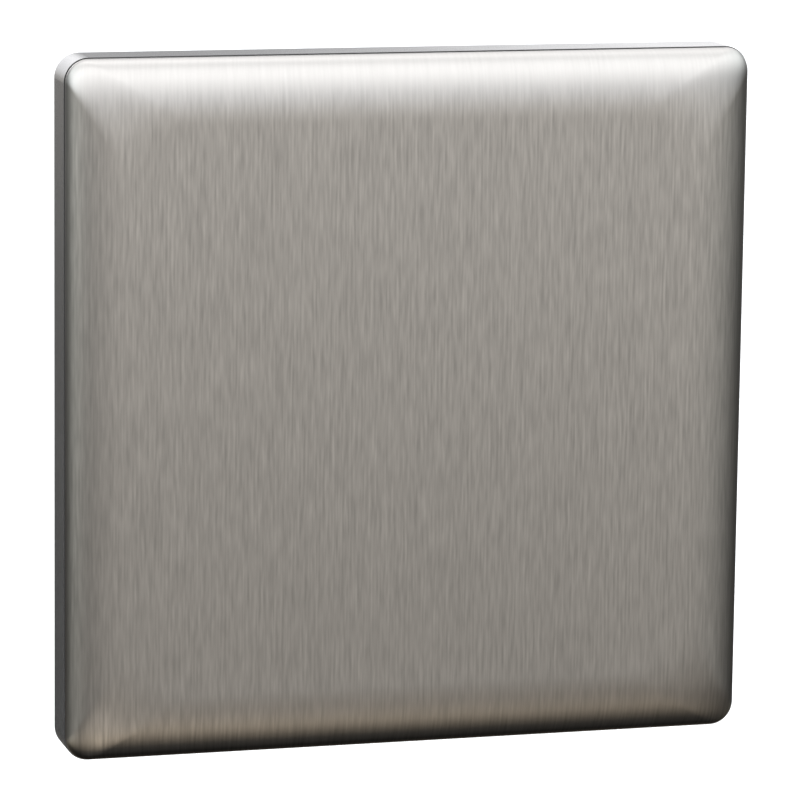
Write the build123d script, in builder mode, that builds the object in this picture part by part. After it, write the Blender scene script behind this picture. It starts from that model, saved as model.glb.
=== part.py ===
"""Screwless blank plate for a single-gang wall box: room side -Y, wall plane y = 0, up +Z."""
import os
from math import cos, radians, sin

from build123d import *

os.makedirs("parts", exist_ok=True)

# Outline, in millimetres. Depths are measured from the wall towards the room.
plate_side = 86.0         # width and height of the frame
corner_radius = 3.0       # its outline corners
reveal = 0.12             # frame stands out this far past the rim of the front plate
seam = 0.2                # shadow line between frame and front plate

# Front plate, pressed from sheet
sheet = 1.0
roll_width = 8.0          # rolled edge, measured in from the rim
roll_height = 2.8         # rise of the face above the rim
roll_fullness = 2.25      # exponent of the roll's section, where 2 is an ellipse
roll_steps = 10           # sections up the roll
face_corner = 4.0         # corners of the flat that the roll leaves

# Mounting frame, moulded
frame_depth = 5.7         # straight side wall seen behind the front plate
frame_wall = 1.8
inner_corner = 1.5
web_recess = 1.6          # web stands this far off the wall
web = 1.8                 # thickness of the web
rib = 1.0                 # stiffening ribs on the back of the web
rib_gap = 0.4             # ribs stop short of the wall
rib_offset = 11.0         # upright ribs, from the centre
cross_rib_offset = 22.0   # level ribs, from the centre
post_leg = 9.0            # L posts that seat the clip carrier
post_wall = 1.6
release_width = 10.0      # screwdriver slot through the bottom wall
release_height = 1.6
release_lip = 0.8         # wall left in front of that slot
boss_width = 10.0         # pads round the fixing holes
boss_height = 14.0
stake_offset = 14.0       # heat stakes that hold the earth strap
stake_diameter = 2.6
stake_head = 4.4
stake_rise = 0.8

# Clip carrier, moulded and bonded into the front plate
carrier_sheet = 1.0
carrier_strip = 3.0       # left between its window and the notch at a screw head
carrier_corner = 2.5
skirt_wall = 1.2
skirt_depth = 2.0
hook_offset = 18.0        # hooks, from the upright centre line
arm_width = 8.0
arm_thickness = 1.0
arm_slot = 1.0            # slot each side of an arm, so that it can bend
nose = 0.6                # overhang of the hook
tip_gap = 0.3             # hooks end this far off the wall

# Fixing screws
fixing_pitch = 60.3
screw_diameter = 3.5
screw_neck = 3.1          # plain shank between head and thread
screw_length = 25.0
screw_point = 0.5
head_diameter = 7.0
head_height = 2.0
head_chamfer = 0.8
driver_slot = 1.0
driver_depth = 1.0
adjust = 3.6              # upright travel of the slotted fixing hole

# Earth strap, spring and terminal
strap = 1.0
strap_width = 12.0
strap_end = 5.5           # past the centre of a fixing hole
leg_width = 10.0
leaf = 0.4
leaf_width = 7.0
leaf_slope = 14.0         # degrees, rise of the spring arm
crest_radius = 2.0        # rounded contact of the spring
crest_height = 4.0        # contact point above the centre
curl = 60.0               # degrees, tip turned back past the contact
terminal_drop = 14.0      # terminal, below the centre
terminal_width = 8.0
terminal_length = 11.0
terminal_break = 0.6
rivet_diameter = 4.0
rivet_head = 6.4
rivet_rise = 1.0
head_taper = 30.0         # degrees, sides of the rivet and stake heads
rivet_margin = 5.0        # strap leg and leaf past the rivet's centre
wire_bore = 4.2
wire_offset = 3.2         # axis of the wire bore behind the wall plane
clamp_diameter = 4.0
clamp_length = 8.0
clamp_head = 6.6
clamp_head_height = 2.4
clamp_slot = 1.0
clamp_slot_depth = 1.1

# Clearances
carrier_clearance = 0.5   # carrier inside the flat of the front plate
seat_clearance = 0.1      # carrier above its posts, hook behind the web
post_clearance = 0.2      # posts inside the skirt
notch_clearance = 0.5     # carrier to the strap and screw heads
hook_clearance = 0.2      # hook arm in its window
hole_clearance = 0.1      # rivet and stakes, each side
fixing_clearance = 0.45   # screws in the frame and strap, each side
thread_clearance = 0.05   # clamp screw in its tapped hole, each side
contact_gap = 0.05        # spring to front plate
wire_gap = 0.2            # tip of the clamp screw above the open wire bore

# Depths of the stack, from the wall
web_front = web_recess + web
strap_front = web_front + strap
leaf_front = strap_front + leaf
rim_depth = frame_depth + seam
carrier_front = rim_depth + roll_height - sheet
carrier_back = carrier_front - carrier_sheet

# Sizes that follow from the fits
frame_inside = plate_side - 2 * frame_wall
front_side = plate_side - 2 * reveal
front_corner = corner_radius - reveal
carrier_side = front_side - 2 * roll_width - 2 * carrier_clearance
screw_notch = strap_width + 2 * notch_clearance
carrier_window = fixing_pitch - screw_notch - 2 * carrier_strip
post_outside = carrier_side / 2 - skirt_wall - post_clearance
arm_outside = carrier_side / 2
arm_inside = arm_outside - arm_thickness
latch_depth = web_recess - seat_clearance
fixing_hole = screw_diameter + 2 * fixing_clearance
rivet_hole = rivet_diameter + 2 * hole_clearance
stake_hole = stake_diameter + 2 * hole_clearance
leg_end = terminal_drop + rivet_margin
roll_angles = [radians(90 * step / roll_steps) for step in range(roll_steps + 1)]
roll_insets = [1 - cos(angle) ** (2 / roll_fullness) for angle in roll_angles]
roll_rises = [sin(angle) ** (2 / roll_fullness) for angle in roll_angles]
sides = (1, -1)


def at_depth(depth):
    """Plane parallel to the wall and facing the room, local x = X and local y = Z."""
    return Plane.XZ.offset(depth)


# Front plate: rounded squares lofted up the roll, hollowed by a second loft one sheet inside
with BuildPart() as front_plate:
    for inset, rise in zip(roll_insets, roll_rises):
        side = front_side - 2 * roll_width * inset
        corner = front_corner + (face_corner - front_corner) * inset
        with BuildSketch(at_depth(rim_depth + roll_height * rise)):
            RectangleRounded(side, side, corner)
    loft()
    for inset, rise in zip(roll_insets, roll_rises):
        side = front_side - 2 * sheet - 2 * (roll_width - sheet) * inset
        corner = front_corner - sheet + (face_corner - front_corner) * inset
        with BuildSketch(at_depth(rim_depth + (roll_height - sheet) * rise)):
            RectangleRounded(side, side, corner)
    loft(mode=Mode.SUBTRACT)

# Clip carrier: flat ring, skirt, room for the screw heads, four snap hooks
with BuildPart() as clip_carrier:
    with BuildSketch(at_depth(carrier_back)):
        RectangleRounded(carrier_side, carrier_side, carrier_corner)
        RectangleRounded(carrier_window, carrier_window, carrier_corner, mode=Mode.SUBTRACT)
    extrude(amount=carrier_sheet)
    with BuildSketch(at_depth(carrier_back)):
        RectangleRounded(carrier_side, carrier_side, carrier_corner)
        Rectangle(carrier_side - 2 * skirt_wall, carrier_side - 2 * skirt_wall, mode=Mode.SUBTRACT)
        with GridLocations(2 * hook_offset, carrier_side, 2, 2):
            Rectangle(arm_width + 2 * arm_slot, 3 * skirt_wall, mode=Mode.SUBTRACT)
    extrude(amount=-skirt_depth)
    with BuildSketch(at_depth(carrier_front)):
        with GridLocations(fixing_pitch + carrier_side / 2, 0, 2, 1):
            SlotCenterToCenter(carrier_side / 2, screw_notch)
    extrude(amount=-carrier_sheet - skirt_depth, mode=Mode.SUBTRACT)
    for x in (-hook_offset, hook_offset):
        for up in sides:
            with BuildSketch(Plane.YZ.offset(x)):
                with BuildLine():
                    Polyline(
                        (-carrier_front, up * arm_inside),
                        (-carrier_front, up * arm_outside),
                        (-latch_depth, up * arm_outside),
                        (-latch_depth + nose / 2, up * (arm_outside + nose)),
                        (-tip_gap - nose, up * (arm_outside + nose)),
                        (-tip_gap, up * arm_outside),
                        (-tip_gap, up * arm_inside),
                        close=True,
                    )
                make_face()
            extrude(amount=arm_width / 2, both=True)

# Mounting frame: side wall, web, pads and ribs behind it, posts and stakes in front of it
with BuildPart() as mounting_frame:
    with BuildSketch(at_depth(0)):
        RectangleRounded(plate_side, plate_side, corner_radius)
        RectangleRounded(frame_inside, frame_inside, inner_corner, mode=Mode.SUBTRACT)
    extrude(amount=frame_depth)
    with BuildSketch(at_depth(web_recess)):
        Rectangle(plate_side - frame_wall, plate_side - frame_wall)
    extrude(amount=web)
    with BuildSketch(at_depth(rib_gap)):
        with GridLocations(2 * rib_offset, 0, 2, 1):
            Rectangle(rib, frame_inside)
        with GridLocations(0, 2 * cross_rib_offset, 1, 2):
            Rectangle(frame_inside, rib)
        with GridLocations(frame_inside / 2 + rib_offset, 0, 2, 1):
            Rectangle(frame_inside / 2 - rib_offset, rib)
    extrude(amount=web_recess - rib_gap)
    with BuildSketch(at_depth(0)):
        with GridLocations(fixing_pitch, 0, 2, 1):
            RectangleRounded(boss_width, boss_height, inner_corner)
    extrude(amount=web_recess)
    with BuildSketch(at_depth(web_front)):
        with GridLocations(2 * post_outside - post_leg, 2 * post_outside - post_leg, 2, 2):
            Rectangle(post_leg, post_leg)
        Rectangle(2 * (post_outside - post_wall), 2 * (post_outside - post_wall), mode=Mode.SUBTRACT)
    extrude(amount=carrier_back - seat_clearance - web_front)
    with BuildSketch(at_depth(web_front)):
        with GridLocations(2 * stake_offset, 0, 2, 1):
            Circle(stake_diameter / 2)
    extrude(amount=strap)
    with BuildSketch(at_depth(strap_front)):
        with GridLocations(2 * stake_offset, 0, 2, 1):
            Circle(stake_head / 2)
    extrude(amount=stake_rise, taper=head_taper)
    with BuildSketch(at_depth(web_front)):
        with Locations((-fixing_pitch / 2, 0)):
            Circle(fixing_hole / 2)
        with Locations((fixing_pitch / 2, 0)):
            SlotCenterToCenter(adjust, fixing_hole, rotation=90)
        with Locations((0, -terminal_drop)):
            Circle(rivet_hole / 2)
        for x in (-hook_offset, hook_offset):
            for up in sides:
                with Locations((x, up * (arm_inside - nose - hook_clearance))):
                    Rectangle(
                        arm_width + 2 * hook_clearance,
                        arm_thickness + nose + 2 * hook_clearance,
                        align=(Align.CENTER, Align.MIN if up > 0 else Align.MAX),
                    )
    extrude(amount=-web_front, mode=Mode.SUBTRACT)
    with BuildSketch(at_depth(frame_depth - release_lip)):
        with Locations((0, -plate_side / 2)):
            Rectangle(release_width, 3 * frame_wall)
    extrude(amount=-release_height, mode=Mode.SUBTRACT)

# Earth strap: bar under both screw heads and a leg down to the terminal
with BuildPart() as earth_strap:
    with BuildSketch(at_depth(web_front)):
        RectangleRounded(fixing_pitch + 2 * strap_end, strap_width, strap_width / 4)
        with Locations((0, -leg_end / 2)):
            Rectangle(leg_width, leg_end)
        with Locations((-fixing_pitch / 2, 0)):
            Circle(fixing_hole / 2, mode=Mode.SUBTRACT)
        with Locations((fixing_pitch / 2, 0)):
            SlotCenterToCenter(adjust, fixing_hole, rotation=90, mode=Mode.SUBTRACT)
        with GridLocations(2 * stake_offset, 0, 2, 1):
            Circle(stake_hole / 2, mode=Mode.SUBTRACT)
        with Locations((0, -terminal_drop)):
            Circle(rivet_hole / 2, mode=Mode.SUBTRACT)
    extrude(amount=strap)

# Earth spring: leaf swept from under the rivet up to a rounded contact behind the front plate
crest_axis = carrier_front - contact_gap - leaf / 2 - crest_radius
arm_top = crest_axis + crest_radius * cos(radians(leaf_slope))
arm_end = crest_height - crest_radius * sin(radians(leaf_slope))
leaf_middle = strap_front + leaf / 2
arm_rise = (arm_top - leaf_middle) / sin(radians(leaf_slope))
arm_start = arm_end - arm_rise * cos(radians(leaf_slope))
with BuildPart() as earth_spring:
    with BuildLine(Plane.YZ) as leaf_path:
        FilletPolyline(
            (-leaf_middle, -leg_end),
            (-leaf_middle, arm_start),
            (-arm_top, arm_end),
            radius=crest_radius,
        )
        CenterArc((-crest_axis, crest_height), crest_radius, 180 + leaf_slope, -leaf_slope - curl)
    with BuildSketch(Plane(origin=leaf_path.line @ 0, x_dir=(1, 0, 0), z_dir=leaf_path.line % 0)):
        Rectangle(leaf_width, leaf)
    sweep()
    with BuildSketch(at_depth(leaf_front)):
        with Locations((0, -terminal_drop)):
            Circle(rivet_hole / 2)
    extrude(amount=-leaf, mode=Mode.SUBTRACT)

# Earth terminal: brass pillar behind the web, its spigot riveted over the spring
terminal_end = web_recess - terminal_length
with BuildPart() as earth_terminal:
    with BuildSketch(at_depth(web_recess)):
        with Locations((0, -terminal_drop)):
            Rectangle(terminal_width, terminal_width)
    extrude(amount=-terminal_length)
    chamfer(edges().filter_by(Axis.Y), length=terminal_break)
    with BuildSketch(at_depth(web_recess)):
        with Locations((0, -terminal_drop)):
            Circle(rivet_diameter / 2)
    extrude(amount=leaf_front - web_recess)
    with BuildSketch(at_depth(leaf_front)):
        with Locations((0, -terminal_drop)):
            Circle(rivet_head / 2)
    extrude(amount=rivet_rise, taper=head_taper)
    with BuildSketch(Plane.XY.offset(-terminal_drop)):
        with Locations((0, wire_offset)):
            Circle(wire_bore / 2)
    extrude(amount=terminal_width, both=True, mode=Mode.SUBTRACT)
    with BuildSketch(at_depth(terminal_end)):
        with Locations((0, -terminal_drop)):
            Circle(clamp_diameter / 2 + thread_clearance)
    extrude(amount=-terminal_end - wire_offset, mode=Mode.SUBTRACT)

# Terminal screw: backed off, so that the wire bore stands open
clamp_tip = wire_offset + wire_bore / 2 + wire_gap
with BuildPart() as terminal_screw:
    with BuildSketch(at_depth(-clamp_tip)):
        with Locations((0, -terminal_drop)):
            Circle(clamp_diameter / 2)
    extrude(amount=-clamp_length)
    with BuildSketch(at_depth(-clamp_tip - clamp_length)):
        with Locations((0, -terminal_drop)):
            Circle(clamp_head / 2)
    extrude(amount=-clamp_head_height)
    with BuildSketch(at_depth(-clamp_tip - clamp_length - clamp_head_height)):
        with Locations((0, -terminal_drop)):
            Rectangle(2 * clamp_head, clamp_slot, rotation=35)
    extrude(amount=clamp_slot_depth, mode=Mode.SUBTRACT)

# Fixing screws: pan heads on the strap, plain necks through the frame, threads from the wall on
with BuildPart() as fixing_screws:
    with BuildSketch(at_depth(strap_front)):
        with GridLocations(fixing_pitch, 0, 2, 1):
            Circle(head_diameter / 2)
    extrude(amount=head_height)
    chamfer(edges().group_by(Axis.Y)[0], length=head_chamfer)
    with BuildSketch(at_depth(strap_front)):
        with GridLocations(fixing_pitch, 0, 2, 1):
            Circle(screw_neck / 2)
    extrude(amount=-strap_front)
    with BuildSketch(at_depth(0)):
        with GridLocations(fixing_pitch, 0, 2, 1):
            Circle(screw_diameter / 2)
    extrude(amount=strap_front - screw_length)
    chamfer(edges().group_by(Axis.Y)[-1], length=screw_point)
    with BuildSketch(at_depth(strap_front + head_height)):
        with GridLocations(fixing_pitch, 0, 2, 1):
            Rectangle(2 * head_diameter, driver_slot, rotation=90)
    extrude(amount=-driver_depth, mode=Mode.SUBTRACT)

front_plate.part.label = "front_plate"
clip_carrier.part.label = "clip_carrier"
mounting_frame.part.label = "mounting_frame"
earth_strap.part.label = "earth_strap"
earth_spring.part.label = "earth_spring"
earth_terminal.part.label = "earth_terminal"
terminal_screw.part.label = "terminal_screw"
fixing_screws.part.label = "fixing_screws"
export_step(front_plate.part, "parts/front_plate.step")
export_step(clip_carrier.part, "parts/clip_carrier.step")
export_step(mounting_frame.part, "parts/mounting_frame.step")
export_step(earth_strap.part, "parts/earth_strap.step")
export_step(earth_spring.part, "parts/earth_spring.step")
export_step(earth_terminal.part, "parts/earth_terminal.step")
export_step(terminal_screw.part, "parts/terminal_screw.step")
export_step(fixing_screws.part, "parts/fixing_screws.step")
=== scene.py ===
# %% [markdown]
# # A screwless blank plate
# A blank plate closes a wall box that holds no switch. A pressed steel front clips over a moulded
# frame, and the frame is screwed to the box, so no screw shows from the room.
# The CAD part is already in place, in metres: x runs to the right, y into the wall and z up.
# We only dress it, and rebuild in finer mesh the two things that need it: the rolled steel front,
# whose smooth reflections show every facet, and the screws, which have real threads.

from math import atan, cos, hypot, pi, prod, radians, sin

import bpy
from mathutils import Matrix, Vector


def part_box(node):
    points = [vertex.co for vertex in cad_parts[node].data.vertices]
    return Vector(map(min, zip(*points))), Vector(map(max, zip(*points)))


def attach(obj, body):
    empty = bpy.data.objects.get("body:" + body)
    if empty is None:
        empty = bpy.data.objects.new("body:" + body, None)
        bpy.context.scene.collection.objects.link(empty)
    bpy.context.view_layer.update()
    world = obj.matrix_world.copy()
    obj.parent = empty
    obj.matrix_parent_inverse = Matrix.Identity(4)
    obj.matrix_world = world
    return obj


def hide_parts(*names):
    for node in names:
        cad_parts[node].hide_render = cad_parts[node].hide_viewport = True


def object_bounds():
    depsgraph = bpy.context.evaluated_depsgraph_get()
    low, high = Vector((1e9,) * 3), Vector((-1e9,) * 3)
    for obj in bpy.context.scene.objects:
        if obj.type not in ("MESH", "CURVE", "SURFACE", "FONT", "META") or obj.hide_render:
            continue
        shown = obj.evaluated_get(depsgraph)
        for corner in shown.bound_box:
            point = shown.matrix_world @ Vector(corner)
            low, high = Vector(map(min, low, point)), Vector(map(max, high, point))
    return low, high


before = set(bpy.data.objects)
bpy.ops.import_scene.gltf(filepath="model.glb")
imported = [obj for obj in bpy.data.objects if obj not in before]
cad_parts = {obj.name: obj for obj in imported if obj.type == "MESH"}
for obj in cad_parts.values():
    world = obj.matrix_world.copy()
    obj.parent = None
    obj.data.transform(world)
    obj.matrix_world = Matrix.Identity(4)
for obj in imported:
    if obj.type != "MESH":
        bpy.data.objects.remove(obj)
cad_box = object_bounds()
MM = 0.001
print("CAD nodes:", ", ".join(sorted(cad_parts)))

# %% [markdown]
# ## Writing shaders as sums
# A finish is easier to read as a formula than as a heap of nodes. `Wire` stands for one socket, and
# its operators add the Math nodes, so `1 - grain * 0.2` can be written as it is said.
# `Nodes.add` makes every other node: first its settings, then the values or wires of its sockets.


# %% A wire that can be added and multiplied
class Wire:
    """One output socket, usable in sums with numbers and other wires."""

    def __init__(self, nodes, socket):
        self.nodes = nodes
        self.socket = socket

    def math(self, operation, first, second=0.0):
        return self.nodes.add("ShaderNodeMath", {"operation": operation}, {0: first, 1: second})

    def __add__(self, other):
        return self.math("ADD", self, other)

    def __sub__(self, other):
        return self.math("SUBTRACT", self, other)

    def __rsub__(self, other):
        return self.math("SUBTRACT", other, self)

    def __mul__(self, other):
        return self.math("MULTIPLY", self, other)

    def __pow__(self, other):
        return self.math("POWER", self, other)

    def __abs__(self):
        return self.math("ABSOLUTE", self)

    def at_least(self, other):
        return self.math("MAXIMUM", self, other)

    __radd__ = __add__
    __rmul__ = __mul__


# %% One method for every other node
class Nodes:
    """The emptied node tree of a material or of the world."""

    def __init__(self, owner):
        owner.use_nodes = True
        self.tree = owner.node_tree
        self.tree.nodes.clear()

    def add(self, kind, settings=None, sockets=None, output=0):
        """Adds one node and returns a wire from its output, or several wires for several outputs."""
        made = self.tree.nodes.new(kind)
        for name, value in (settings or {}).items():
            if name == "stops":
                self.set_stops(made.color_ramp, value)
            else:
                setattr(made, name, value)
        for key, value in (sockets or {}).items():
            if isinstance(value, Wire):
                self.tree.links.new(value.socket, made.inputs[key])
            else:
                made.inputs[key].default_value = value
        if isinstance(output, tuple):
            return [Wire(self, made.outputs[name]) for name in output]
        return Wire(self, made.outputs[output]) if made.outputs else None

    def set_stops(self, ramp, stops):
        """Puts (place, colour) stops on a colour ramp."""
        while len(ramp.elements) < len(stops):
            ramp.elements.new(1.0)
        for element, (place, colour) in zip(ramp.elements, stops):
            element.position = place
            element.color = (*colour, 1.0)

    def vector(self, operation, first, second, output=0):
        """Works out colours and vectors part by part, or their dot product."""
        return self.add("ShaderNodeVectorMath", {"operation": operation}, {0: first, 1: second}, output)

    def scale(self, colour, amount):
        """Multiplies a colour or a vector by an amount."""
        return self.add("ShaderNodeVectorMath", {"operation": "SCALE"}, {0: colour, "Scale": amount})

    def mix(self, factor, first, second):
        """Blends two colours."""
        sockets = {0: factor, 6: first, 7: second}
        return self.add("ShaderNodeMix", {"data_type": "RGBA"}, sockets, 2)

    def smooth_step(self, value, start, end):
        """Rises smoothly from 0 at start to 1 at end."""
        sockets = {"Value": value, "From Min": start, "From Max": end}
        return self.add("ShaderNodeMapRange", {"interpolation_type": "SMOOTHSTEP"}, sockets)

    def noise(self, where, cells, detail=2.0, dimensions="3D"):
        """Cloudy values about one half, in cells that measure so many metres along x, y and z."""
        stretched = self.vector("MULTIPLY", where, [1.0 / cell for cell in cells])
        sockets = {"Vector": stretched, "Scale": 1.0, "Detail": detail}
        return self.add("ShaderNodeTexNoise", {"noise_dimensions": dimensions}, sockets)

    def round_edges(self, radius):
        """A normal that makes sharp edges look rounded."""
        return self.add("ShaderNodeBevel", {"samples": 6}, {"Radius": radius})

    def bump(self, height, distance, **over):
        """A normal from a height, one unit of which is distance metres, over Normal=another normal."""
        return self.add("ShaderNodeBump", {}, {"Height": height, "Distance": distance, **over})


# %% [markdown]
# ## A finish
# Every finish here ends in one Principled shader. What varies over the surface goes into colour,
# roughness and normal. What is the same all over, such as metal or not, is set on the socket itself.


# %% Start and end of a finish
def start_finish(name):
    """A new material, its nodes, and the place on the piece in metres."""
    material = bpy.data.materials.new(name)
    nodes = Nodes(material)
    where = nodes.add("ShaderNodeTexCoord", output="Object")
    return material, nodes, where


def end_finish(nodes, **sockets):
    """Ends a finish in a Principled shader. Socket names have _ for a space."""
    named = {key.replace("_", " "): value for key, value in sockets.items()}
    shader = nodes.add("ShaderNodeBsdfPrincipled", {}, named)
    nodes.add("ShaderNodeOutputMaterial", {}, {"Surface": shader})


# %% [markdown]
# ## Brushed steel
# The front is stainless sheet, brushed upright with an abrasive belt. The belt leaves fine grooves
# a fraction of a millimetre wide and a few millimetres long. Each groove mirrors light sideways, so
# the gloss is wide across the grain and narrow along it: that is anisotropy, and it is constant.
# The sheet is brushed flat and pressed afterwards, so the grain is drawn on the flat sheet. A UV
# map that keeps each point's place on the unrolled sheet carries it over the rolled edge.
# The belt only just touches the top edge of the sheet, so the marks grow faint there.

# %% Brushed steel finish
STEEL_DARK = (0.397, 0.386, 0.372, 1.0)
STEEL_LIGHT = (0.573, 0.558, 0.537, 1.0)
STEEL_CONTRAST = 1.8
STEEL_ROUGHNESS = 0.31
ROUGHNESS_CHANGE = 0.06
ANISOTROPY = 0.85
GROOVE_CELLS = (0.36 * MM, 3.6 * MM, 1.0)
HAIR_CELLS = (0.25 * MM, 9.0 * MM, 1.0)
BAND_CELLS = (2.4 * MM, 70.0 * MM, 1.0)
GROOVE_DEPTH = 0.004 * MM
BELT_FADES = 35.5 * MM
BELT_FAINT = 40.5 * MM
BELT_LOSS = 0.8
SHEET_MAP = "unrolled_sheet"


def brushed_steel():
    material, nodes, _ = start_finish("brushed_steel_front")
    sheet_place = nodes.add("ShaderNodeUVMap", {"uv_map": SHEET_MAP})
    groove = nodes.noise(sheet_place, GROOVE_CELLS, 1.0, "2D")
    hair = nodes.noise(sheet_place, HAIR_CELLS, 0.0, "2D")
    band = nodes.noise(sheet_place, BAND_CELLS, 1.0, "2D")
    grain = groove * 0.55 + hair * 0.35 + band * 0.10
    sheet_up = nodes.add("ShaderNodeSeparateXYZ", {}, {0: sheet_place}, "Y")
    belt = 1.0 - nodes.smooth_step(sheet_up, BELT_FADES, BELT_FAINT) * BELT_LOSS
    marks = (grain - 0.5) * belt
    end_finish(
        nodes,
        Base_Color=nodes.mix(0.5 + marks * STEEL_CONTRAST, STEEL_DARK, STEEL_LIGHT),
        Metallic=1.0,
        Roughness=STEEL_ROUGHNESS - marks * ROUGHNESS_CHANGE,
        Anisotropic=ANISOTROPY,
        Normal=nodes.bump(groove * 0.6 + hair * 0.4, GROOVE_DEPTH),
    )
    return material


steel_finish = brushed_steel()
print("finish:", steel_finish.name)

# %% [markdown]
# ## The rolled front
# The press rolls the sheet's edge over in a full quarter curve: flat where it leaves the face, steep
# at the rim. The corners are rounder on the face than at the rim, so light turns them softly.
# The CAD solid is that sheet, but its facets would show in the gloss, and subdividing it would blur
# its rim. So we lay rings of points up the curve and join them, inside and out, into one sheet.

# %% Sizes of the rolled front
plate_low, plate_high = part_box("front_plate")
_, frame_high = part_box("mounting_frame")
REVEAL = 0.12 * MM
PLATE_HALF = frame_high.x - REVEAL
RIM_Y = plate_high.y
ROLL_HEIGHT = plate_high.y - plate_low.y
ROLL_WIDTH = 8.0 * MM
ROLL_FULLNESS = 2.25
SHEET = 1.0 * MM
RIM_CORNER = 2.88 * MM
FACE_CORNER = 7.5 * MM
FACE_MARGIN = 0.4 * MM
CORNER_STEPS = 20
ROLL_STEPS = 48
print(f"front plate {2000 * PLATE_HALF:.1f} mm square, roll {1000 * ROLL_HEIGHT:.2f} mm high")


# %% Rings of points
def rounded_square(half, radius, y):
    """Points round a square with round corners, all at depth y."""
    ring = []
    for quarter in range(4):
        side_x = 1 if quarter in (0, 3) else -1
        side_z = 1 if quarter in (0, 1) else -1
        for step in range(CORNER_STEPS + 1):
            angle = (quarter + step / CORNER_STEPS) * pi / 2
            x = side_x * (half - radius) + radius * cos(angle)
            z = side_z * (half - radius) + radius * sin(angle)
            ring.append((x, y, z))
    return ring


def rolled_skin(inset):
    """Rings from the flat face over the roll to the rim, and the same rings on the unrolled sheet."""
    width, height = ROLL_WIDTH - inset, ROLL_HEIGHT - inset
    flat = PLATE_HALF - ROLL_WIDTH
    rings = [rounded_square(flat - FACE_MARGIN, FACE_CORNER - inset, RIM_Y - height)]
    sheet_rings = [rounded_square(flat - FACE_MARGIN, FACE_CORNER - inset, 0.0)]
    path = 0.0
    last = (0.0, height)
    for step in range(ROLL_STEPS + 1):
        angle = (1 - step / ROLL_STEPS) * pi / 2
        out = cos(angle) ** (2 / ROLL_FULLNESS) if step else 0.0
        rise = sin(angle) ** (2 / ROLL_FULLNESS)
        radius = FACE_CORNER - inset + (RIM_CORNER - FACE_CORNER) * out
        path += hypot(width * out - last[0], height * rise - last[1])
        last = (width * out, height * rise)
        rings.append(rounded_square(flat + width * out, radius, RIM_Y - height * rise))
        sheet_rings.append(rounded_square(flat + path, radius, 0.0))
    return rings, sheet_rings


outer_rings, outer_sheet = rolled_skin(0.0)
inner_rings, inner_sheet = rolled_skin(SHEET)
print(len(outer_rings), "rings outside and", len(inner_rings), "inside")

# %% Skin the rings into a piece
SHARP_ANGLE = radians(40)


def skin_rings(name, rings, material, body):
    """Joins rings of equal length with quads, closes both ends and makes a smooth piece of it."""
    count = len(rings[0])
    points = [point for ring in rings for point in ring]
    faces = [list(range(count))]
    for row in range(len(rings) - 1):
        for i in range(count):
            here, there = row * count, (row + 1) * count
            j = (i + 1) % count
            faces.append((here + j, here + i, there + i, there + j))
    faces.append(list(reversed(range(len(points) - count, len(points)))))
    mesh = bpy.data.meshes.new(name)
    mesh.from_pydata(points, [], faces)
    mesh.shade_smooth()
    mesh.set_sharp_from_angle(angle=SHARP_ANGLE)
    piece = bpy.data.objects.new(name, mesh)
    bpy.context.collection.objects.link(piece)
    mesh.materials.append(material)
    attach(piece, body)
    print(f"{name}: {len(points)} points")
    return piece


# %% Make the rolled front
front_rings = inner_rings + list(reversed(outer_rings))
rolled_front = skin_rings("rolled_front", front_rings, steel_finish, "cover")
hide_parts("front_plate")

# %% [markdown]
# The map of the unrolled sheet keeps, for each point, how far it lay from the middle of the sheet
# before the press bent it.
# Blender takes the direction of the grain from the mesh's texture space: it runs round the middle
# of that space. We move the middle far in front of the plate, so the grain is straight everywhere.

# %% Grain on the unrolled sheet, and its direction
GRAIN_CENTRE = (0.0, -20.0, 0.0)
sheet_points = [point for ring in inner_sheet + list(reversed(outer_sheet)) for point in ring]
sheet_map = rolled_front.data.uv_layers.new(name=SHEET_MAP)
for loop in rolled_front.data.loops:
    x, _, z = sheet_points[loop.vertex_index]
    sheet_map.data[loop.index].uv = (x, z)
rolled_front.data.use_auto_texspace = False
rolled_front.data.texspace_location = GRAIN_CENTRE
rolled_front.data.texspace_size = (1.0, 1.0, 1.0)
sheet_half = max(x for x, _, _ in sheet_points)
print(f"unrolled sheet: {2000 * sheet_half:.1f} mm square")

# %% [markdown]
# ## Moulded frame and clip carrier
# The straight grey side behind the front is the wall of a moulding. The mould was spark-eroded, so
# its skin has a very fine grain that only softens the gloss. The edges could be bevelled in the
# mesh, but a Bevel node rounds their look without touching the solid.
# The outer wall is polished to a satin, because it shows. The rest is left matt, with round marks
# where pins pushed the moulding out. We find the outer wall by its distance from the centres of the
# outline's corners, and the pin marks by their distance from a few places, mirrored left and right
# and up and down.

# %% Places on the moulding
FRAME_CORNER = 3.0 * MM
CORNER_CENTRE = frame_high.x - FRAME_CORNER
WALL_STARTS = 0.85 * FRAME_CORNER
WALL_FULL = 0.97 * FRAME_CORNER
PIN_PLACES = ((30.0 * MM, 31.0 * MM), (19.0 * MM, 12.5 * MM))
PIN_RADIUS = 2.0 * MM
PIN_EDGE = 0.12 * MM


def distance_from(nodes, where, side_x, side_z, outwards_only=False):
    """Distance from the nearest of four mirrored places, or only how far it goes out beyond them."""
    x, z = nodes.add("ShaderNodeSeparateXYZ", {}, {0: where}, ("X", "Z"))
    out_x = abs(x) - side_x
    out_z = abs(z) - side_z
    if outwards_only:
        out_x = out_x.at_least(0.0)
        out_z = out_z.at_least(0.0)
    return (out_x * out_x + out_z * out_z) ** 0.5


print("pin marks:", 4 * len(PIN_PLACES))

# %% Moulded plastic finish
GRAIN_CELLS = (0.12 * MM, 0.12 * MM, 0.12 * MM)
FLOW_CELLS = (9.0 * MM, 9.0 * MM, 9.0 * MM)
GRAIN_DEPTH = 0.006 * MM
PIN_DEPTH = 0.06 * MM
MOULD_EDGE = 0.05 * MM
FLOW_HAZE = 0.10


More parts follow.
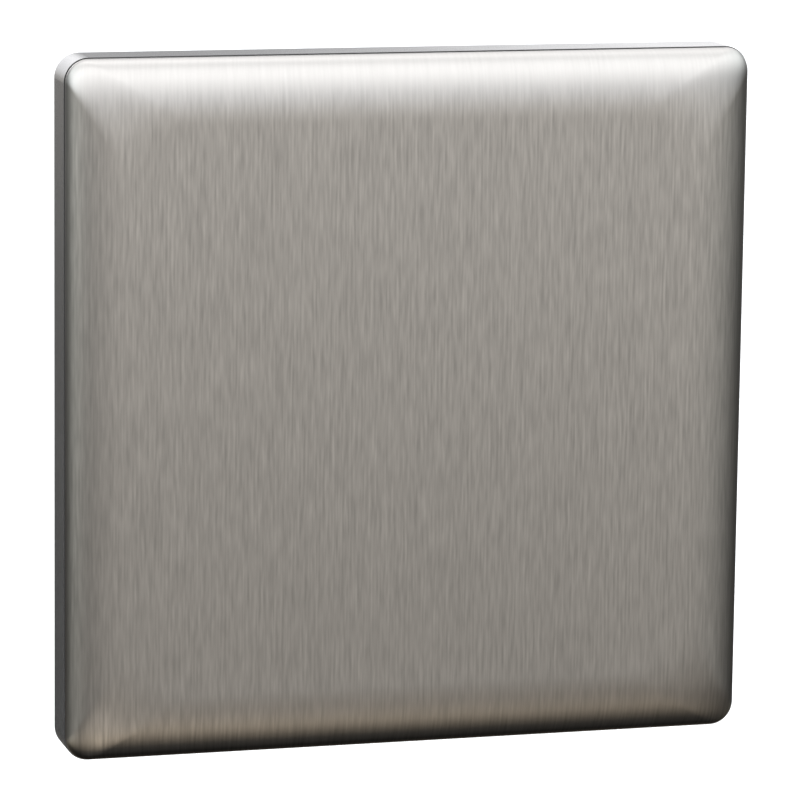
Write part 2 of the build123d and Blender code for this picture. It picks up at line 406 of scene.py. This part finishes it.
def moulded_plastic(name, dark, light, roughness, polish=0.0, pin_places=()):
    """Moulded plastic with an eroded grain, flow clouds, a polished outer wall and pin marks."""
    material, nodes, where = start_finish(name)
    grain = nodes.noise(where, GRAIN_CELLS, 1.0)
    flow = nodes.noise(where, FLOW_CELLS)
    outwards = distance_from(nodes, where, CORNER_CENTRE, CORNER_CENTRE, outwards_only=True)
    outer_wall = nodes.smooth_step(outwards, WALL_STARTS, WALL_FULL)
    relief = grain * GRAIN_DEPTH
    for side_x, side_z in pin_places:
        from_pin = distance_from(nodes, where, side_x, side_z)
        beyond_pin = nodes.smooth_step(from_pin, PIN_RADIUS - PIN_EDGE, PIN_RADIUS + PIN_EDGE)
        relief = relief + beyond_pin * PIN_DEPTH
    end_finish(
        nodes,
        Base_Color=nodes.mix(flow * 0.7 + grain * 0.3, dark, light),
        Roughness=roughness + (flow - 0.5) * FLOW_HAZE - outer_wall * polish,
        Normal=nodes.bump(relief, 1.0, Normal=nodes.round_edges(MOULD_EDGE)),
    )
    return material


# %% Dress the moulded pieces
def dress(node, material):
    """Gives a CAD node a finish through its material slots."""
    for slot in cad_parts[node].material_slots:
        slot.material = material
    print("dressed", node, "with", material.name)


frame_finish = moulded_plastic(
    "satin_grey_moulding",
    dark=(0.038, 0.038, 0.038, 1.0),
    light=(0.056, 0.056, 0.056, 1.0),
    roughness=0.50,
    polish=0.28,
    pin_places=PIN_PLACES,
)
carrier_finish = moulded_plastic(
    "black_moulding",
    dark=(0.016, 0.016, 0.017, 1.0),
    light=(0.030, 0.030, 0.032, 1.0),
    roughness=0.48,
)
dress("mounting_frame", frame_finish)
dress("clip_carrier", carrier_finish)

# %% [markdown]
# ## Plated steel, brass and bronze
# The strap and screws are steel with a thin zinc coat: bright, faintly blue, and a little cloudy
# where the coat is thicker. The terminal is turned brass, and the contact leaf is rolled bronze.
# Each could have a shader of its own, but one recipe does for all of them: two tones, clouds for
# the coat or the tarnish, and fine lines left by the roll or the lathe.

# %% Small metal finish
METAL_EDGE = 0.10 * MM
TOOL_LINE_DEPTH = 0.004 * MM
CLOUD_CONTRAST = 1.1
CLOUD_HAZE = 0.14
LINE_HAZE = 0.08


def small_metal(name, dark, light, cloud_cells, line_cells, roughness):
    """Bare or plated metal with clouds of one size and tool lines of another."""
    material, nodes, where = start_finish(name)
    clouds = nodes.noise(where, cloud_cells, 3.0)
    lines = nodes.noise(where, line_cells, 1.0)
    end_finish(
        nodes,
        Base_Color=nodes.mix((clouds - 0.5) * CLOUD_CONTRAST + 0.5, dark, light),
        Metallic=1.0,
        Roughness=roughness + (clouds - 0.5) * CLOUD_HAZE + (lines - 0.5) * LINE_HAZE,
        Normal=nodes.bump(lines, TOOL_LINE_DEPTH, Normal=nodes.round_edges(METAL_EDGE)),
    )
    print("finish:", name)
    return material


# %% Dress the earth parts
SPANGLE = (3.0 * MM, 3.0 * MM, 3.0 * MM)
SMALL_CLOUD = (1.6 * MM, 1.6 * MM, 1.6 * MM)
ROLLED_LEVEL = (9.0 * MM, 0.15 * MM, 0.15 * MM)
ROLLED_UPRIGHT = (0.12 * MM, 6.0 * MM, 6.0 * MM)
TURNED = (4.0 * MM, 0.10 * MM, 4.0 * MM)
zinc_sheet = small_metal(
    "zinc_sheet",
    dark=(0.47, 0.49, 0.50, 1.0),
    light=(0.66, 0.67, 0.66, 1.0),
    cloud_cells=SPANGLE,
    line_cells=ROLLED_LEVEL,
    roughness=0.34,
)
leaf_bronze = small_metal(
    "leaf_bronze",
    dark=(0.50, 0.28, 0.15, 1.0),
    light=(0.70, 0.43, 0.26, 1.0),
    cloud_cells=SPANGLE,
    line_cells=ROLLED_UPRIGHT,
    roughness=0.28,
)
turned_brass = small_metal(
    "turned_brass",
    dark=(0.56, 0.38, 0.14, 1.0),
    light=(0.76, 0.56, 0.26, 1.0),
    cloud_cells=SMALL_CLOUD,
    line_cells=TURNED,
    roughness=0.26,
)
dress("earth_strap", zinc_sheet)
dress("earth_spring", leaf_bronze)
dress("earth_terminal", turned_brass)

# %% [markdown]
# ## Screws with threads
# A thread is a ridge wound round a rod. Blender's Screw modifier can wind one, but its ends are hard
# to close. We skin rings round the axis instead, and let the radius of each point follow a wave of
# its height less its turn, so the ridges climb like a helix and fade out at both ends.

# %% Threads as rings
TURN_STEPS = 40
RINGS_PER_PITCH = 8
DEPTH_IN_PITCHES = 0.54
FLANK_SLOPE = 2.6
GROW_WITHIN = 1 / 6
FADE_WITHIN = 1 / 12


def threaded_rod(top, bottom, major, pitch):
    """Rings of (radius at each turn, height) for a thread that runs from top down to bottom."""
    depth = DEPTH_IN_PITCHES * pitch
    count = max(2, int(abs(top - bottom) / pitch * RINGS_PER_PITCH))
    rings = []
    for row in range(count + 1):
        share = row / count
        height = top + (bottom - top) * share
        fade = min(1.0, share / GROW_WITHIN, (1 - share) / FADE_WITHIN)
        radii = []
        for step in range(TURN_STEPS):
            turn = (height / pitch - step / TURN_STEPS) % 1.0
            ridge = min(1.0, FLANK_SLOPE * abs(turn - 0.5))
            radii.append(major / 2 - depth * (1 - ridge * fade))
        rings.append((radii, height))
    return rings


def plain_ring(radius, height):
    return ([radius] * TURN_STEPS, height)


def place_rings(rings, axis_x, axis_z):
    """Turns (radii, height) rings into points round an axis along y."""
    placed = []
    for radii, height in rings:
        ring = []
        for step, radius in enumerate(radii):
            angle = -2 * pi * step / TURN_STEPS
            ring.append((axis_x + radius * cos(angle), height, axis_z + radius * sin(angle)))
        placed.append(ring)
    return placed


# %% Driver slot
def cut_slot(piece, centre, width, depth, length, turn):
    """Cuts a driver slot across a screw head, centre on its top face."""
    bpy.ops.mesh.primitive_cube_add(size=1.0)
    cutter = bpy.context.object
    cutter.scale = (length, 2 * depth, width)
    cutter.rotation_euler = (0.0, turn, 0.0)
    cutter.location = centre
    bpy.context.view_layer.update()
    cut = piece.modifiers.new("driver slot", "BOOLEAN")
    cut.operation = "DIFFERENCE"
    cut.object = cutter
    bpy.context.view_layer.objects.active = piece
    bpy.ops.object.modifier_apply(modifier=cut.name)
    bpy.data.objects.remove(cutter)
    print(f"{piece.name}: slot cut, now {len(piece.data.polygons)} faces")


# %% [markdown]
# Two zinc-plated screws hold the frame and the strap to the wall box. Each has a low domed head on
# the strap, a plain neck through the frame and a thread into the box. The slots stand upright, as a
# fitter leaves them.

# %% Fixing screws
screws_low, screws_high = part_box("fixing_screws")
strap_low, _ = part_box("earth_strap")
SCREW_MAJOR = 3.5 * MM
SCREW_NECK = 3.1 * MM
SCREW_PITCH = 0.6 * MM
FIXING_PITCH = 60.3 * MM
HEAD_RADIUS = 3.5 * MM
HEAD_ROUND = 0.9 * MM
HEAD_STEPS = 8
DOME_SHARE = 0.55
SLOT_WIDTH = 1.0 * MM
SLOT_DEPTH = 1.0 * MM
UPRIGHT = radians(90)
head_top, head_seat = screws_low.y, strap_low.y
dome = DOME_SHARE * (head_seat - head_top)
zinc_screw = small_metal(
    "zinc_screw",
    dark=(0.46, 0.48, 0.50, 1.0),
    light=(0.68, 0.68, 0.65, 1.0),
    cloud_cells=SMALL_CLOUD,
    line_cells=TURNED,
    roughness=0.30,
)


def fixing_screw(name, axis_x):
    """A pan head on the strap, a plain neck through the frame and a thread into the wall box."""
    rings = []
    for step in range(HEAD_STEPS):
        angle = pi / 2 * (1 - step / (HEAD_STEPS - 1))
        radius = HEAD_RADIUS - HEAD_ROUND + HEAD_ROUND * cos(angle)
        rings.append(plain_ring(radius, head_top + dome * (1 - sin(angle))))
    rings.append(plain_ring(HEAD_RADIUS, head_seat))
    rings.append(plain_ring(SCREW_NECK / 2, head_seat))
    rings += threaded_rod(0.0, screws_high.y, SCREW_MAJOR, SCREW_PITCH)
    screw = skin_rings(name, place_rings(rings, axis_x, 0.0), zinc_screw, "frame")
    cut_slot(screw, (axis_x, head_top, 0.0), SLOT_WIDTH, SLOT_DEPTH, 3 * HEAD_RADIUS, UPRIGHT)
    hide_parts("fixing_screws")


fixing_screw("fixing_screw_left", -FIXING_PITCH / 2)
fixing_screw("fixing_screw_right", FIXING_PITCH / 2)

# %% [markdown]
# The brass clamp screw presses the earth wire in its terminal. It is made the same way, thread
# first and head last, and its slot stands askew, where the screw came tight.

# %% Terminal screw
clamp_low, clamp_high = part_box("terminal_screw")
CLAMP_MAJOR = 4.0 * MM
CLAMP_PITCH = 0.7 * MM
CLAMP_HEAD_HEIGHT = 2.4 * MM
CLAMP_CHAMFER = 0.3 * MM
CLAMP_SLOT_DEPTH = 1.1 * MM
CLAMP_TURN = radians(35)
clamp_radius = (clamp_high.x - clamp_low.x) / 2
clamp_z = (clamp_high.z + clamp_low.z) / 2
clamp_seat = clamp_high.y - CLAMP_HEAD_HEIGHT
clamp_top = (0.0, clamp_high.y, clamp_z)
clamp_rings = threaded_rod(clamp_low.y, clamp_seat, CLAMP_MAJOR, CLAMP_PITCH)
clamp_rings += [
    plain_ring(clamp_radius, clamp_seat),
    plain_ring(clamp_radius, clamp_high.y - CLAMP_CHAMFER),
    plain_ring(clamp_radius - CLAMP_CHAMFER, clamp_high.y),
]
clamp_places = place_rings(clamp_rings, 0.0, clamp_z)
clamp_screw = skin_rings("clamp_screw", clamp_places, turned_brass, "frame")
cut_slot(clamp_screw, clamp_top, SLOT_WIDTH, CLAMP_SLOT_DEPTH, 4 * clamp_radius, CLAMP_TURN)
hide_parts("terminal_screw")

# %% [markdown]
# ## Studio
# Brushed steel has hardly any colour of its own: it shows what stands around it. Lamps and cards
# could be modelled one by one, but a world that varies with direction is easier to tune, because
# each part of the steel mirrors one known direction.
# Light by height comes first, as under a wide lamp cloth: dim far below, a warm band above that, a
# dim level just under the horizon, and bright overhead.

# %% Studio light by height
LOW_TINT = (1.0, 0.86, 0.69)
WARM_TINT = (1.0, 0.91, 0.81)
LEVEL_TINT = (1.0, 0.95, 0.895)
HIGH_TINT = (1.0, 1.0, 1.02)
STUDIO_SKY = (
    (-90, 0.20, LEVEL_TINT),
    (-74, 0.25, LEVEL_TINT),
    (-58, 0.22, LEVEL_TINT),
    (-46, 0.72, LOW_TINT),
    (-34, 1.82, LOW_TINT),
    (-24, 1.64, WARM_TINT),
    (-15, 0.43, LEVEL_TINT),
    (-5, 0.95, LEVEL_TINT),
    (5, 1.33, HIGH_TINT),
    (16, 1.76, HIGH_TINT),
    (28, 2.02, HIGH_TINT),
    (42, 1.97, HIGH_TINT),
    (58, 1.58, HIGH_TINT),
    (70, 1.75, HIGH_TINT),
    (84, 2.20, HIGH_TINT),
)
world = bpy.data.worlds.new("studio")
bpy.context.scene.world = world
sky = Nodes(world)
direction = sky.add("ShaderNodeTexCoord", output="Generated")
across, inward, height = sky.add("ShaderNodeSeparateXYZ", {}, {0: direction}, ("X", "Y", "Z"))
sky_top = max(level for _, level, _ in STUDIO_SKY)
sky_stops = []
for angle, level, tint in STUDIO_SKY:
    sky_stops.append((0.5 + 0.5 * sin(radians(angle)), [level / sky_top * part for part in tint]))
sky_colour = sky.add("ShaderNodeValToRGB", {"stops": sky_stops}, {0: height * 0.5 + 0.5})
print(len(sky_stops), "levels of light from floor to ceiling")

# %% [markdown]
# The light in front of the plate also varies from left to right. A gap on the left darkens the left
# edge, a card far to the left lights it again, and the right side fades. Low down only a strip near
# the middle stays lit: it gives the bottom edge its warm line, and leaves the bottom corners dark.

# %% Studio light in front
GAP_ABOVE = 0.15
GAP_LEVEL = 0.67
LEFT_CARD = 0.94
RIGHT_FADE = 0.80
RIGHT_FADE_ABOVE = 0.18


def patch(*edges):
    """A soft patch of the studio, the product of smooth steps: each a wire, where it starts and ends."""
    return prod(sky.smooth_step(*edge) for edge in edges)


before = patch((inward, 0.0, -0.90))
near_level = patch((height, 0.10, -0.03))
left_gap = patch((across, 0.0, -0.28)) * (GAP_ABOVE + near_level * GAP_LEVEL)
left_card = patch((across, -0.38, -0.62)) * LEFT_CARD
right_fade = patch((across, 0.45, 0.90)) * RIGHT_FADE
right_fade_above = patch((across, 0.25, 0.65)) * (1.0 - near_level) * RIGHT_FADE_ABOVE
front_light = before * (1.0 - left_gap + left_card - right_fade - right_fade_above)
low_right = patch((across, 0.04, 0.25), (height, -0.23, -0.38), (inward, 0.10, -0.40))
low_left = patch((across, 0.02, -0.26), (height, -0.20, -0.37)) * before
print("light in front:", len(sky.tree.nodes), "nodes so far")

# %% [markdown]
# The wall of the frame is seen at a slant, so it mirrors what stands behind and above the plate: a
# dim wall that is brighter on the right, a card there, and a small glow for the top left corner.

# %% Studio light behind and above
LEFT_SIDE = 0.16
BACK_WALL = 0.24
BACK_RIGHT = 0.16
BACK_CARD = 1.55
BACK_NARROWS = 4.0
BACK_NEAR_FLOOR = 0.3
OVERHEAD_LEAN = 0.40
CORNER_GLOW = 1.5
GLOW_PLACE = Vector((-0.181, 0.949, 0.258)).normalized()

left_side = patch((across, -0.70, -0.98)) * LEFT_SIDE
overhead = patch((height - inward * OVERHEAD_LEAN, 0.22, 0.62))
back_right = patch((across, -0.10, 0.15)) * BACK_RIGHT
back_card = patch((across, 0.21, 0.36)) * BACK_CARD
above_floor = BACK_NEAR_FLOOR + patch((height, -0.34, -0.04)) * (1.0 - BACK_NEAR_FLOOR)
behind = inward.at_least(0.0) ** BACK_NARROWS * (BACK_WALL + back_right + back_card) * above_floor
towards_glow = sky.vector("DOT_PRODUCT", direction, GLOW_PLACE, "Value")
corner_glow = patch((towards_glow, 0.906, 0.990)) * CORNER_GLOW
print("light behind:", len(sky.tree.nodes), "nodes so far")

# %% [markdown]
# All of it is added up, tinted a little cooler towards the sides, and darkened low down. Two faint
# cards far to the left and right keep the face from going black when it is seen from the side.

# %% Sum of the studio light
AMBIENT = 0.07
LOW_FADE = 0.96
LOW_LEFT_CARD = 0.15
FAR_RIGHT_CARD = 0.024
WHITE = (1.0, 1.0, 1.0, 1.0)
SIDE_TINT = (0.94, 1.0, 1.0, 1.0)

lit = AMBIENT + front_light.at_least(overhead) + left_side + behind + corner_glow
lit = lit * (1.0 - (low_right + low_left) * LOW_FADE)
side_tint = sky.mix(patch((across * across, 0.15, 0.50)), WHITE, SIDE_TINT)
glow = sky.vector("MULTIPLY", sky.scale(sky_colour, lit), side_tint)
far_left = patch((across, -0.40, -0.62), (height, -0.26, -0.46), (inward, -0.38, -0.64))
far_right = low_right * patch((across, 0.35, 0.55))
low_cards = sky.scale(LEVEL_TINT, far_left * LOW_LEFT_CARD + far_right * FAR_RIGHT_CARD)
glow = sky.vector("ADD", glow, low_cards)
background = sky.add("ShaderNodeBackground", {}, {"Color": glow, "Strength": sky_top})
sky.add("ShaderNodeOutputWorld", {}, {"Surface": background})
print("studio:", len(sky.tree.nodes), "nodes in all")

# %% [markdown]
# ## Floor
# The floor is a plain pale sheet well below the plate, swept up all round like a photographer's
# paper, so no edge of it shows from any side. A flat plane would end in a horizon.
# Glossy rays pass it by: the photographed steel mirrors something dim below, not a white floor.

# %% Pale floor, swept up all round
FLOOR_DROP = 120 * MM
FLOOR_MIDDLE = 0.4
FLOOR_RADIUS = 2.6
COVE_RADIUS = 0.8
COVE_STEPS = 8
ROUND_STEPS = 96
FLOOR_COLOUR = (0.86, 0.86, 0.86, 1.0)
FLOOR_ROUGHNESS = 0.9
floor_z = cad_box[0].z - FLOOR_DROP
cove_line = [(FLOOR_MIDDLE, floor_z)]
for step in range(COVE_STEPS + 1):
    angle = pi / 2 * step / COVE_STEPS
    cove_z = floor_z + COVE_RADIUS * (1 - cos(angle))
    cove_line.append((FLOOR_RADIUS + COVE_RADIUS * sin(angle), cove_z))
floor_points = []
floor_faces = [list(range(ROUND_STEPS))]
for radius, z in cove_line:
    for step in range(ROUND_STEPS):
        angle = 2 * pi * step / ROUND_STEPS
        floor_points.append((radius * cos(angle), radius * sin(angle), z))
for row in range(len(cove_line) - 1):
    for i in range(ROUND_STEPS):
        j = (i + 1) % ROUND_STEPS
        here, there = row * ROUND_STEPS, (row + 1) * ROUND_STEPS
        floor_faces.append((here + i, there + i, there + j, here + j))
floor_mesh = bpy.data.meshes.new("floor")
floor_mesh.from_pydata(floor_points, [], floor_faces)
floor_mesh.shade_smooth()
floor = bpy.data.objects.new("floor", floor_mesh)
bpy.context.collection.objects.link(floor)
floor_finish, floor_nodes, _ = start_finish("pale_floor")
end_finish(floor_nodes, Base_Color=FLOOR_COLOUR, Roughness=FLOOR_ROUGHNESS)
floor_mesh.materials.append(floor_finish)
floor.visible_glossy = False
print(f"floor: {len(floor_points)} points, {FLOOR_DROP:.2f} m below the plate")

# %% [markdown]
# ## Camera
# The photograph was taken from a little to the left and above, with a long lens, so the square
# stays nearly square. The camera could be placed by eye, but the edges of the plate in the
# photograph give its angles, its distance and its focal length, so we set it from those.

# %% Camera at the photograph's angle
IMAGE_SIDE = 800
SENSOR = 36.0
FOCAL_PIXELS = 4889
TURN_LEFT = radians(15.59)
LOOK_DOWN = radians(10.22)
TILT = radians(0.69)
DISTANCE = 605 * MM
CENTRE_PIXEL = (395.6, 393.0)

back = Vector((-sin(TURN_LEFT) * cos(LOOK_DOWN), -cos(TURN_LEFT) * cos(LOOK_DOWN), sin(LOOK_DOWN)))
aim_right = atan((IMAGE_SIDE / 2 - CENTRE_PIXEL[0]) / FOCAL_PIXELS)
aim_up = atan((CENTRE_PIXEL[1] - IMAGE_SIDE / 2) / FOCAL_PIXELS)
look = (-back).to_track_quat("-Z", "Y").to_matrix() @ Matrix.Rotation(TILT, 3, "Z")
look = look @ Matrix.Rotation(-aim_right, 3, "Y") @ Matrix.Rotation(aim_up, 3, "X")
camera_data = bpy.data.cameras.new("camera")
camera_data.sensor_width = SENSOR
camera_data.lens = FOCAL_PIXELS * SENSOR / IMAGE_SIDE
camera = bpy.data.objects.new("camera", camera_data)
camera.matrix_world = Matrix.Translation(back * DISTANCE) @ look.to_4x4()
bpy.context.collection.objects.link(camera)
bpy.context.scene.camera = camera
bpy.context.scene.view_settings.view_transform = "Standard"
print(f"lens {camera_data.lens:.1f} mm at {DISTANCE:.3f} m")
